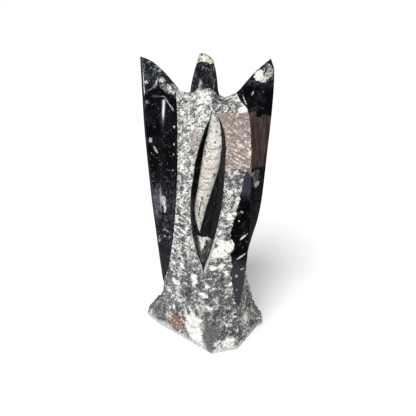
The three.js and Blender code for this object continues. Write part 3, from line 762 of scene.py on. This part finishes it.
class Finish:
    """The nodes of one material."""

    def __init__(self, name):
        self.material = bpy.data.materials.new(name)
        self.material.use_nodes = True
        self.tree = self.material.node_tree
        self.tree.nodes.clear()
        self.place = self.node("TexCoord", {}, "Object")

    def node(self, kind, inputs, output=0, **settings):
        """Adds a node with these settings; an input takes a plain value or another node's output."""
        made = self.tree.nodes.new("ShaderNode" + kind)
        for setting, value in settings.items():
            setattr(made, setting, value)
        for socket, value in inputs.items():
            if isinstance(value, bpy.types.NodeSocket):
                self.tree.links.new(value, made.inputs[socket])
            else:
                made.inputs[socket].default_value = value
        return made.outputs[output]

    def field(self, name):
        """An attribute of one number."""
        return self.node("Attribute", {}, "Fac", attribute_name=name)

    def sum(self, a, b):
        return self.node("Math", {0: a, 1: b}, operation="ADD")

    def times(self, a, b):
        return self.node("Math", {0: a, 1: b}, operation="MULTIPLY")

    def larger(self, a, b):
        return self.node("Math", {0: a, 1: b}, operation="MAXIMUM")

    def add_scaled(self, a, factor, b):
        """a times factor, plus b."""
        return self.node("Math", {0: a, 1: factor, 2: b}, operation="MULTIPLY_ADD")

    def step(self, value, low, high, start=0.0, end=1.0):
        """An S-shaped rise from start, at low, to end, at high."""
        inputs = {"Value": value, "From Min": low, "From Max": high, "To Min": start, "To Max": end}
        return self.node("MapRange", inputs, interpolation_type="SMOOTHSTEP")

    def spread(self, noise, factor):
        """Noise, which stays close to a half, turned to about -1..1 and scaled."""
        return self.node("Math", {0: noise, 1: 8 * factor, 2: -4 * factor}, operation="MULTIPLY_ADD")

    def ramp(self, value, *stops):
        """A colour for each level of the value, straight between them; the levels run from -2 to 2."""
        share = self.node("MapRange", {"Value": value, "From Min": -2.0, "From Max": 2.0})
        made = self.tree.nodes.new("ShaderNodeValToRGB")
        elements = made.color_ramp.elements
        while len(elements) < len(stops):
            elements.new(0.5)
        for element, (level, colour) in zip(elements, stops):
            element.position = (level + 2) / 4
            element.color = colour
        self.tree.links.new(share, made.inputs["Fac"])
        return made.outputs["Color"]

    def mix(self, share, a, b):
        """Colour a where share is 0, b where it is 1."""
        return self.node("Mix", {0: share, 6: a, 7: b}, 2, data_type="RGBA")

    def noise(self, size, detail=3.0, roughness=0.5, distortion=0.0, place=None):
        """Noise whose lumps are about that many millimetres across, from 0 to 1."""
        inputs = {"Vector": place or self.place, "Scale": 1000 / size, "Detail": detail,
                  "Roughness": roughness, "Distortion": distortion}
        return self.node("TexNoise", inputs, "Fac")

    def cells(self, size, feature="F1", output="Distance", place=None):
        """Cells about that many millimetres across; the distance is in cells."""
        inputs = {"Vector": place or self.place, "Scale": 1000 / size}
        return self.node("TexVoronoi", inputs, output, feature=feature)

    def drawn_out(self, turn, stretch):
        """The object's coordinates turned about Y and shortened along two of the turned axes, so that
        noise comes out as strokes which fall to the right by the angle, in radians."""
        inputs = {"Vector": self.place, "Rotation": (0, turn, 0), "Scale": (stretch, stretch, 1.0)}
        return self.node("Mapping", inputs, vector_type="TEXTURE")

    def wavy(self, size, reach):
        """The object's coordinates pushed about by noise, up to that many millimetres."""
        push = self.node("TexNoise", {"Vector": self.place, "Scale": 1000 / size}, "Color")
        inputs = {0: push, 1: (reach * 0.002,) * 3, 2: self.place}
        return self.node("VectorMath", inputs, operation="MULTIPLY_ADD")

    def finish(self, colour, roughness, height, height_mm, **shader):
        """The surface itself, with its colour, roughness and fine relief."""
        bump = self.node("Bump", {"Height": height, "Distance": height_mm / 1000, "Strength": 1.0})
        inputs = {"Base Color": colour, "Roughness": roughness, "Normal": bump, **shader}
        surface = self.node("BsdfPrincipled", inputs)
        end = self.tree.nodes.new("ShaderNodeOutputMaterial")
        self.tree.links.new(surface, end.inputs["Surface"])
        return self.material


# %% [markdown]
# ## Finish of the limestone
#
# On the real stone one rock shows two faces. Polished, it is nearly black, because light goes in and is
# lost; struck, it is white. One material holds both and picks by the distance from the border, which
# noise makes a little ragged. The index of refraction is set below the rock's own, which is about 1.6,
# because that keeps the polish dark in a pale studio.


# %% Polished limestone
def polished_colour(f):
    """Black with grey clouds, thin fibres and specks, mottled tips, pale broken calcite beside the left
    flute's head, and the purple-brown bed."""
    cloud = f.step(f.noise(15, 5, 0.6), 0.45, 0.75, 0.0, 0.5)
    colour = f.mix(cloud, paint(5, 6, 9), paint(40, 41, 45))
    fibre = f.step(f.cells(11, "DISTANCE_TO_EDGE", place=f.wavy(6, 3)), 0.012, 0.05, 1.0, 0.0)
    broken = f.step(f.noise(7, 2), 0.54, 0.62)
    fibre = f.times(f.times(fibre, broken), f.field("scrap_share"))
    colour = f.mix(f.times(fibre, 0.6), colour, paint(170, 169, 167))
    speck = f.step(f.cells(3.1), 0.10, 0.22, 1.0, 0.0)
    chosen = f.step(f.noise(5, 1), 0.56, 0.64)
    colour = f.mix(f.times(f.times(speck, chosen), 0.7), colour, paint(170, 170, 168))
    level = f.sum(f.spread(f.noise(4.2, 4, 0.6, 0.8), 0.9), f.spread(f.noise(1.6, 2), 0.4))
    mottled = f.ramp(level, (-1.0, paint(8, 9, 13)), (0.0, paint(42, 44, 51)),
                     (0.8, paint(92, 95, 103)), (1.6, paint(180, 181, 182)))
    colour = f.mix(f.field("mottle"), colour, mottled)
    broken_calcite = f.ramp(level, (-1.0, paint(38, 38, 40)), (0.0, paint(120, 120, 119)),
                            (0.8, paint(188, 186, 180)), (1.5, paint(226, 224, 218)))
    colour = f.mix(f.field("pale"), colour, broken_calcite)
    # Painted reflection: a blue-grey laid into the polish's colour where a bright room would be mirrored.
    colour = f.mix(f.field("slate"), colour, f.mix(f.noise(5, 4), paint(40, 42, 47), paint(62, 63, 68)))
    in_bed = f.step(f.field("bed_mm"), -0.6, 0.6)
    grain = f.node("Mapping", {"Vector": f.place, "Scale": (1.0, 1.0, 0.25)})
    brown = f.mix(f.step(f.noise(5, 5, 0.6, place=grain), 0.3, 0.7), paint(40, 34, 33), paint(80, 68, 65))
    # In the bed, the painted reflection lightens the brown.
    brown = f.mix(f.times(f.field("slate"), 0.8), brown, paint(128, 106, 102))
    return f.mix(in_bed, colour, brown), in_bed


def add_slope(f, colour):
    """The slope at the window's foot: streaks along the fall, dark at the left, cream in the middle."""
    fall = f.node("Mapping", {"Vector": f.place, "Rotation": (0, 0.5, 0), "Scale": (1.0, 1.0, 0.3)})
    level = f.sum(f.spread(f.noise(2.4, 4, 0.6, place=fall), 0.8), f.field("slope_shade"))
    streaks = f.ramp(level, (-1.6, paint(24, 25, 27)), (-0.6, paint(84, 84, 82)),
                     (0.4, paint(158, 153, 145)), (1.4, paint(214, 208, 197)))
    edge = f.add_scaled(f.noise(3, 2), 1.2, f.field("slope_mm"))
    return f.mix(f.step(edge, 0.45, 0.75), colour, streaks)


def add_cap(f, colour):
    """The horn's cap of tan and cream calcite, down to a wavy border."""
    cap = f.step(f.add_scaled(f.noise(5, 3), 3.0, f.field("cap_mm")), 1.3, 1.9)
    level = f.sum(f.spread(f.noise(6, 4, 0.6), 0.8), f.spread(f.noise(1.8, 2), 0.3))
    calcite = f.ramp(level, (-1.2, paint(122, 116, 98)), (-0.2, paint(168, 163, 147)),
                     (0.6, paint(206, 202, 190)), (1.4, paint(226, 223, 214)))
    return f.mix(cap, colour, calcite)


def add_scraps(f, colour):
    """Scraps from their own coordinates: inside where the length of the stored vector is under 1."""
    vector = f.node("Attribute", {}, "Vector", attribute_name="scrap_place")
    share = f.node("VectorMath", {0: vector}, "Value", operation="LENGTH")
    share = f.add_scaled(f.noise(2.4, 4, 0.6), 1.8, share)
    inside = f.step(share, 1.68, 1.94, 1.0, 0.0)
    level = f.sum(f.spread(f.noise(2.2, 4, 0.6), 0.5), f.field("scrap_tone"))
    shade = f.ramp(level, (-1.6, paint(5, 5, 6)), (-0.5, paint(40, 40, 42)), (0.3, paint(112, 112, 112)),
                   (1.0, paint(186, 184, 178)), (1.8, paint(226, 224, 216)))
    return f.mix(inside, colour, shade)


# %% Rough limestone
def rough_level(f):
    """One number for how white the chisel left a place: clumps with crisp edges, three sizes of noise,
    the strikes, the strokes along the borders and the stored shift, summed; and the strokes alone."""
    rising = f.drawn_out(-0.6, 1.5)
    level = f.sum(f.spread(f.noise(3.6, 3, 0.6, 0.8, place=rising), 0.5), f.field("white_shift"))
    level = f.sum(level, f.step(f.noise(5.2, 3, 0.55, 1.0, place=rising), 0.46, 0.54, -0.48, 0.48))
    level = f.sum(level, f.spread(f.noise(10, 2, 0.5, 0.5), 0.5))
    fine = f.spread(f.noise(1.7, 2, 0.5), 0.7)
    strokes = f.spread(f.noise(2.9, 3, 0.55, place=f.drawn_out(0.22, 3.0)), 0.85)
    level = f.sum(f.sum(level, fine), f.times(strokes, f.field("stroked")))
    furrows = f.step(f.noise(2.4, 3, 0.55, place=f.drawn_out(0.6, 3.5)), 0.50, 0.61, 0.0, 1.6)
    mud_level = f.sum(f.times(fine, 0.9), f.times(furrows, f.field("furrow")))
    mud_level = f.sum(f.sum(mud_level, f.spread(f.noise(5, 3, 0.6, 1.0), 0.55)), -0.2)
    return f.sum(level, f.add_scaled(f.field("strike"), 0.55, -0.2)), mud_level


def rough_colour(f, level, mud_level, in_bed):
    """Dark grey ribs and white hollows, each nearly even, with a steep rise between them; in the bed,
    shades of mauve mud."""
    plain = f.ramp(level, (-2.0, paint(58, 58, 60)), (-1.0, paint(92, 92, 93)), (-0.4, paint(116, 116, 116)),
                   (0.1, paint(160, 159, 157)), (0.6, paint(198, 197, 194)), (1.3, paint(226, 225, 221)),
                   (2.0, paint(240, 239, 235)))
    mud = f.ramp(mud_level, (-1.6, paint(106, 95, 92)), (-0.3, paint(138, 126, 121)),
                 (0.4, paint(158, 146, 139)), (0.9, paint(204, 191, 182)), (1.6, paint(230, 219, 209)))
    stained = f.times(f.field("pink"), f.step(f.noise(5, 4), 0.36, 0.60, 0.1, 0.9))
    return f.mix(f.larger(in_bed, stained), plain, mud)


def add_patches(f, colour):
    """The even grey of the sawn band, then dark, rusty and cream patches laid over the rough stone."""
    grain = f.noise(2.0, 5, 0.65)
    even = f.mix(f.step(grain, 0.35, 0.65), paint(158, 157, 155), paint(224, 223, 220))
    colour = f.mix(f.times(f.field("sawn"), 0.85), colour, even)
    block = f.mix(grain, paint(60, 61, 63), paint(118, 117, 116))
    colour = f.mix(f.times(f.field("dark"), 0.85), colour, block)
    rust = f.mix(f.step(grain, 0.35, 0.65), paint(98, 70, 46), paint(160, 128, 98))
    share = f.times(f.field("rust"), f.step(f.noise(5, 4), 0.37, 0.50))
    colour = f.mix(f.times(share, 0.9), colour, rust)
    cream = f.mix(f.step(grain, 0.3, 0.7), paint(216, 213, 206), paint(246, 245, 241))
    share = f.times(f.field("cream"), f.step(f.noise(4, 4), 0.34, 0.46))
    return f.mix(share, colour, cream)


# %% Both faces of the stone in one finish
GLOSS_FROM, GLOSS_TO, DULL_GLOSS, CHISELLED_GLOSS = 0.10, 0.20, 0.75, 0.85
STONE_RELIEF, STONE_IOR, SHARP_ABOVE = 0.7, 1.38, 38


def limestone():
    """Polished and rough colour picked by the ragged border; the window's walls are less glossy."""
    f = Finish("limestone")
    ragged = f.add_scaled(f.noise(2.6, 4, 0.6), 2.4, f.sum(f.field("rough_mm"), -1.2))
    is_rough = f.step(ragged, -0.15, 0.35)
    polished, in_bed = polished_colour(f)
    polished = add_scraps(f, add_cap(f, add_slope(f, polished)))
    level, mud_level = rough_level(f)
    rough_paint = add_patches(f, rough_colour(f, level, mud_level, in_bed))
    bevel = f.mix(f.noise(3, 3), paint(140, 139, 135), paint(206, 205, 200))
    rough_paint = f.mix(f.field("chamfer"), rough_paint, bevel)
    colour = f.mix(is_rough, polished, rough_paint)
    gloss = f.step(f.noise(18, 3), 0.3, 0.8, GLOSS_FROM, GLOSS_TO)
    gloss = f.node("Mix", {0: f.field("dull"), 2: gloss, 3: DULL_GLOSS})
    gloss = f.node("Mix", {0: is_rough, 2: gloss, 3: CHISELLED_GLOSS})
    grit = f.add_scaled(f.noise(0.9, 2), 0.5, f.times(level, 0.28))
    return f.finish(colour, gloss, f.times(is_rough, grit), STONE_RELIEF, IOR=STONE_IOR)


stone = new_piece("carved_limestone", to_frame(cut), [fours, fives, threes], limestone())
store(stone, rough_mm=rough_mm, strike=pit, white_shift=white_shift, stroked=stroked, bed_mm=bed_mm,
      furrow=furrow, sawn=sawn, pink=pink, rust=rust, cream=cream, dark=dark, scrap_place=scrap_place,
      scrap_tone=scrap_tone, cap_mm=cap_mm, scrap_share=scrap_share, mottle=mottle, pale=pale,
      slate=slate, slope_mm=slope_mm, slope_shade=slope_shade, chamfer=chamfer, dull=dull)
stone.data.set_sharp_from_angle(angle=math.radians(SHARP_ABOVE))
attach(stone, "root")
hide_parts("limestone_matrix")
print(stone.name, len(stone.data.polygons), "faces")

# %% [markdown]
# ## The shell
#
# An orthoceras is a straight, tapering shell, divided by dished walls, the septa, with one tube through
# them all. Here it lies in the window's floor, cut and polished with the stone, so it reads as a flat
# spindle: an ellipse carried along a slightly bent line. The septa are fine grooves that sag towards the
# narrow end, and the tube shows as a darker seam.

# %% Shape of the shell
SHELL_FOOT, SHELL_TOP, SHELL_THICKNESS = 155, 299.5, 0.5
shell_x = curve(
    (155, 0.6), (171, 0.4), (184, 1.4), (196.5, 4.0), (211, 7.4), (227, 10.9), (238.5, 13.2),
    (250.5, 14.9), (262, 16.6), (276, 17.9), (290, 17.4), (299.5, 15.6))
shell_half = curve(
    (155, 0), (158, 1.3), (163, 2.5), (171, 4.8), (184, 6.9), (196.5, 8.2), (211, 9.1), (227, 10.4),
    (238.5, 11.1), (250.5, 11.1), (262, 10.9), (276, 8.8), (290, 5.9), (296, 3.2), (299.5, 0))
SEPTA = [
    # height in the middle, rise towards the sides, strength
    (257, 6.4, 0.75), (245.7, 2.6, 0.7), (234, 4.6, 0.8), (222, 6.4, 1.0), (208.4, 3.0, 0.9),
    (200, 1.8, 0.4), (189, 1.8, 0.25)]
SEPTUM_WIDTH, GROOVE_DEPTH = 0.75, 0.25
SHELL_ROWS, SHELL_COLUMNS = 300, 96


def septum_share(up, across):
    """The strongest septum at each point: a narrow bell across a curve that rises with the square of
    the share across."""
    bells = [strength * np.exp(-((up - middle - rise * across ** 2) / SEPTUM_WIDTH) ** 2)
             for middle, rise, strength in SEPTA]
    return np.maximum.reduce(bells)


def shell_surface():
    """Around: an ellipse; along: the middle line, which lies in the window's floor. The front sinks where
    a septum is."""
    up = mix(SHELL_FOOT, SHELL_TOP, 0.5 - 0.5 * np.cos(np.linspace(0, np.pi, SHELL_ROWS)))[1:-1, None]
    turn = np.linspace(0, 2 * np.pi, SHELL_COLUMNS, endpoint=False)[None, :]
    half = shell_half(up)
    across = np.cos(turn) * np.ones_like(up)
    septum = septum_share(up, across)
    out = 1 - GROOVE_DEPTH / np.maximum(half * SHELL_THICKNESS, 0.6) * septum
    middle = floor_y(up)
    rings = np.stack([shell_x(up) + half * across, middle - half * SHELL_THICKNESS * np.sin(turn) * out,
                      up * np.ones_like(turn)], -1)
    return rings, septum


rings, septum = shell_surface()
ends = np.stack([ring.mean(0) for ring in (rings[0], rings[-1])])
ends[:, 2] = SHELL_FOOT, SHELL_TOP
shell_points = np.concatenate([rings.reshape(-1, 3), ends])
ring = np.arange(rings[..., 0].size).reshape(rings.shape[:2])
ring = np.concatenate([ring, ring[:, :1]], 1)
sides = np.concatenate([quads(high, low) for low, high in zip(ring, ring[1:])])
foot_fan = np.stack([ring[0, :-1], ring[0, 1:], np.full(SHELL_COLUMNS, len(shell_points) - 2)], -1)
top_fan = np.stack([ring[-1, 1:], ring[-1, :-1], np.full(SHELL_COLUMNS, len(shell_points) - 1)], -1)
print("shell", rings.shape[:2], "width", round(float(2 * shell_half(SEPTA[1][0])), 1), "mm")


# %% Dark marks on the shell
SHELL_MARKS = [
    # x, z, half width, half height, strength; the last four are the tube
    (20, 276.8, 0.9, 1.2, 1), (18.3, 265, 1.2, 1.3, 1), (17, 260.5, 1, 1, 0.5), (21, 273.3, 0.9, 1.1, 0.5),
    (19.2, 270.5, 0.5, 5.5, 0.5), (6.8, 254.5, 1.4, 2, 0.6), (6.9, 251, 1.6, 1.6, 0.7),
    (24.6, 253.2, 1, 1.6, 0.6), (8.1, 264, 1.2, 1.8, 0.9), (24.2, 259.6, 1, 2, 0.8),
    (18.1, 227.7, 1.2, 2.6, 0.8), (4.2, 238.8, 1, 1.4, 0.7), (11, 201.7, 1.1, 1.6, 0.7),
    (6, 189.5, 1, 1, 0.6), (5, 183.2, 1, 1, 0.6), (2.3, 173.4, 1, 1.2, 0.6), (2.2, 168.6, 1, 1.3, 0.5),
    (-2, 189, 0.6, 4, 0.6), (-1, 176, 0.6, 5, 0.5),
    (4.4, 198.3, 2, 3.4, 0.65), (2.6, 191, 1, 4, 0.8), (1.2, 185, 1, 4, 0.9), (0.2, 178.5, 1.2, 2.8, 1),
]


def marks_at(points):
    """The strongest mark at each point: a bell over each mark's ellipse."""
    bells = [strength * np.exp(-((points[:, 0] - px) / half_x) ** 2 - ((points[:, 2] - pz) / half_z) ** 2)
             for px, pz, half_x, half_z, strength in SHELL_MARKS]
    return np.maximum.reduce(bells)


# %% Finish of the shell
SHELL_GLOSS_FROM, SHELL_GLOSS_TO, SHELL_RELIEF, SHELL_IOR = 0.30, 0.45, 0.12, 1.45


def calcite():
    """Cream calcite, clouded and mottled grey, with brown septa and marks and a tan middle stretch."""
    f = Finish("shell_calcite")
    level = f.sum(f.spread(f.noise(5, 4, 0.6, 0.5), 0.45), f.spread(f.noise(2.0, 3, 0.65), 1.0))
    level = f.sum(level, f.times(f.field("low"), -0.15))
    colour = f.ramp(level, (-1.8, paint(108, 106, 99)), (-0.8, paint(168, 165, 156)),
                    (0.0, paint(209, 206, 198)), (1.2, paint(230, 228, 221)))
    tan = f.times(f.field("tan"), f.step(f.noise(9, 4), 0.30, 0.6))
    colour = f.mix(f.times(tan, 0.6), colour, paint(196, 184, 164))
    streak = f.node("Mapping", {"Vector": f.place, "Rotation": (0, 0.25, 0), "Scale": (1.0, 1.0, 0.22)})
    streaks = f.step(f.noise(2.4, 4, 0.6, place=streak), 0.50, 0.66)
    colour = f.mix(f.times(streaks, f.times(f.field("low"), 0.3)), colour, paint(112, 110, 105))
    wall = f.times(f.field("septum"), f.step(f.noise(3, 3), 0.25, 0.5, 0.45, 1.0))
    colour = f.mix(f.times(wall, 0.95), colour, paint(116, 104, 90))
    mark = f.step(f.add_scaled(f.noise(1.5, 3), 0.6, f.field("mark")), 0.50, 0.85)
    colour = f.mix(f.times(mark, 0.9), colour, paint(72, 68, 63))
    speck = f.times(f.step(f.cells(2.2), 0.10, 0.20, 1.0, 0.0), f.step(f.noise(6, 1), 0.52, 0.60))
    colour = f.mix(f.times(speck, 0.5), colour, paint(128, 124, 116))
    gloss = f.step(f.noise(7, 3), 0.3, 0.7, SHELL_GLOSS_FROM, SHELL_GLOSS_TO)
    return f.finish(colour, gloss, f.times(level, 0.3), SHELL_RELIEF, IOR=SHELL_IOR)


shell = new_piece("orthoceras_calcite", to_frame(shell_points), [sides, foot_fan, top_fan], calcite())
height = shell_points[:, 2]
tan_stretch = ease(height, 221, 227) * (1 - ease(height, 236, 246))
tan_stretch = tan_stretch + 0.5 * (1 - ease(np.abs(height - 203), 2, 6))
store(shell,
      septum=np.append(septum.ravel(), [0, 0]),
      mark=marks_at(shell_points),
      tan=tan_stretch,
      low=1 - ease(height, 180, 212))
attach(shell, "root")
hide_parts("orthoceras_shell")
print(shell.name, len(shell.data.polygons), "faces")

# %% [markdown]
# ## Studio
#
# A polished black thing shows its surroundings more than itself. Here it stands on a pale floor under
# one broad key light from the front left and a weak fill. The floor far from the stone is hidden from
# reflections, as if the room beyond the paper were dark, and so the polish stays black. Five lit cards,
# which show in reflections only, draw the bright streak in the left flute and the glow on the facets.
# They belong to the studio and not to the stone, so under other lights the polish shows other streaks.

# %% Floor
FLOOR_NEAR, FLOOR_FAR, FLOOR_SIDES = 0.12, 30.0, 96


def ring_floor(name, inner, outer, finish):
    """A flat ring in the ground plane between two circles; an inner radius of nothing closes it."""
    angle = np.linspace(0, 2 * np.pi, FLOOR_SIDES, endpoint=False)
    circle = np.stack([np.cos(angle), np.sin(angle), np.zeros(FLOOR_SIDES)], -1)
    first = np.arange(FLOOR_SIDES)
    after = np.roll(first, -1)
    if inner == 0:
        return new_piece(name, circle * outer, [first[None, :]], finish)
    strip = np.stack([first, first + FLOOR_SIDES, after + FLOOR_SIDES, after], -1)
    return new_piece(name, np.concatenate([circle * inner, circle * outer]), [strip], finish)


def paper():
    """Matt white paper with a trace of tooth."""
    f = Finish("studio_paper")
    tooth = f.noise(1.5, 2)
    return f.finish(f.mix(tooth, paint(246, 246, 246), paint(250, 250, 250)), 0.9, tooth, 0.02)


floor_finish = paper()
near_floor = ring_floor("floor_near", 0, FLOOR_NEAR, floor_finish)
far_floor = ring_floor("floor_far", FLOOR_NEAR, FLOOR_FAR, floor_finish)
far_floor.visible_glossy = False
print("floor out to", FLOOR_FAR, "m")

# %% Lights and surroundings
KEY_FROM, KEY_STRENGTH, KEY_WIDTH = (-0.16, -0.64, 0.75), 2.8, 30
ROOM, AMBIENT, REFLECTED = 1.0, 0.50, 0.05


def aim(thing, place, target):
    """Puts a thing at a place with its -Z axis towards the target."""
    way = np.array(target) - np.array(place)
    flat = math.hypot(way[0], way[1])
    thing.location = place
    thing.rotation_euler = (math.atan2(flat, -way[2]), 0, math.atan2(-way[0], way[1]))


def new_light(name, kind, place, target, energy, **settings):
    """A light of that kind at a place, aimed at a target."""
    light = bpy.data.lights.new(name, kind)
    light.energy = energy
    for setting, value in settings.items():
        setattr(light, setting, value)
    made = bpy.data.objects.new(name, light)
    bpy.context.scene.collection.objects.link(made)
    aim(made, place, target)
    return made


def new_card(name, place, target, size, radiance, colour):
    """A lit card that only shows in reflections: its power is radiance times pi times its area."""
    power = radiance * math.pi * size[0] * size[1]
    card = new_light(name, "AREA", place, target, power, shape="RECTANGLE", size=size[0],
                     size_y=size[1], color=colour)
    card.visible_diffuse = False
    card.visible_camera = False
    return card


flute_head = to_frame(np.array([-48.0, 4.0, 300.0]))
horn_side = to_frame(np.array([8.0, -6.0, 332.0]))
LAVENDER = (0.82, 0.82, 1.0)
cards = [
    # name, place, target, size, radiance, colour
    ("card_streak", (-0.435, -0.225, 0.290), flute_head, (0.06, 0.05), 40, (0.92, 0.94, 1.0)),
    ("card_glow", (-0.414, -0.258, 0.292), flute_head, (0.05, 0.05), 10, LAVENDER),
    ("card_head", (-0.50, -0.27, 0.01), (-0.50, -0.27, 1.0), (0.10, 0.12), 16, (0.92, 0.94, 1.0)),
    ("card_low", (-0.26, -0.38, 0.01), (-0.26, -0.38, 1.0), (0.34, 0.22), 3.5, LAVENDER),
    ("card_right", (0.60, -0.09, 0.56), horn_side, (0.30, 0.28), 1.4, (1, 1, 1)),
]
for card in cards:
    new_card(*card)
new_light("key", "SUN", KEY_FROM, (0, 0, 0), KEY_STRENGTH, angle=math.radians(KEY_WIDTH))
world = bpy.data.worlds.new("room")
bpy.context.scene.world = world
world.use_nodes = True
nodes, links = world.node_tree.nodes, world.node_tree.links
background = nodes["Background"]
path = nodes.new("ShaderNodeLightPath")
seen = nodes.new("ShaderNodeMix")
mirrored = nodes.new("ShaderNodeMix")
mirrored.inputs[2].default_value = AMBIENT
mirrored.inputs[3].default_value = REFLECTED
seen.inputs[3].default_value = ROOM
links.new(path.outputs["Is Glossy Ray"], mirrored.inputs[0])
links.new(path.outputs["Is Camera Ray"], seen.inputs[0])
links.new(mirrored.outputs[0], seen.inputs[2])
links.new(seen.outputs[0], background.inputs["Strength"])
background.inputs["Color"].default_value = (1, 1, 1, 1)
bpy.context.scene.view_settings.view_transform = "Standard"
print("key light from", KEY_FROM)

# %% Camera
CAMERA_PLACE, CAMERA_TURN, CAMERA_LENS = (0.0818, -0.4684, 0.366), (68.3, 0, 9), 35.05
CAMERA_END = 100
camera_data = bpy.data.cameras.new("camera")
camera_data.lens = CAMERA_LENS
camera_data.clip_end = CAMERA_END
camera = bpy.data.objects.new("camera", camera_data)
bpy.context.scene.collection.objects.link(camera)
camera.location = CAMERA_PLACE
camera.rotation_euler = tuple(math.radians(angle) for angle in CAMERA_TURN)
bpy.context.scene.camera = camera
print("camera at", CAMERA_PLACE)
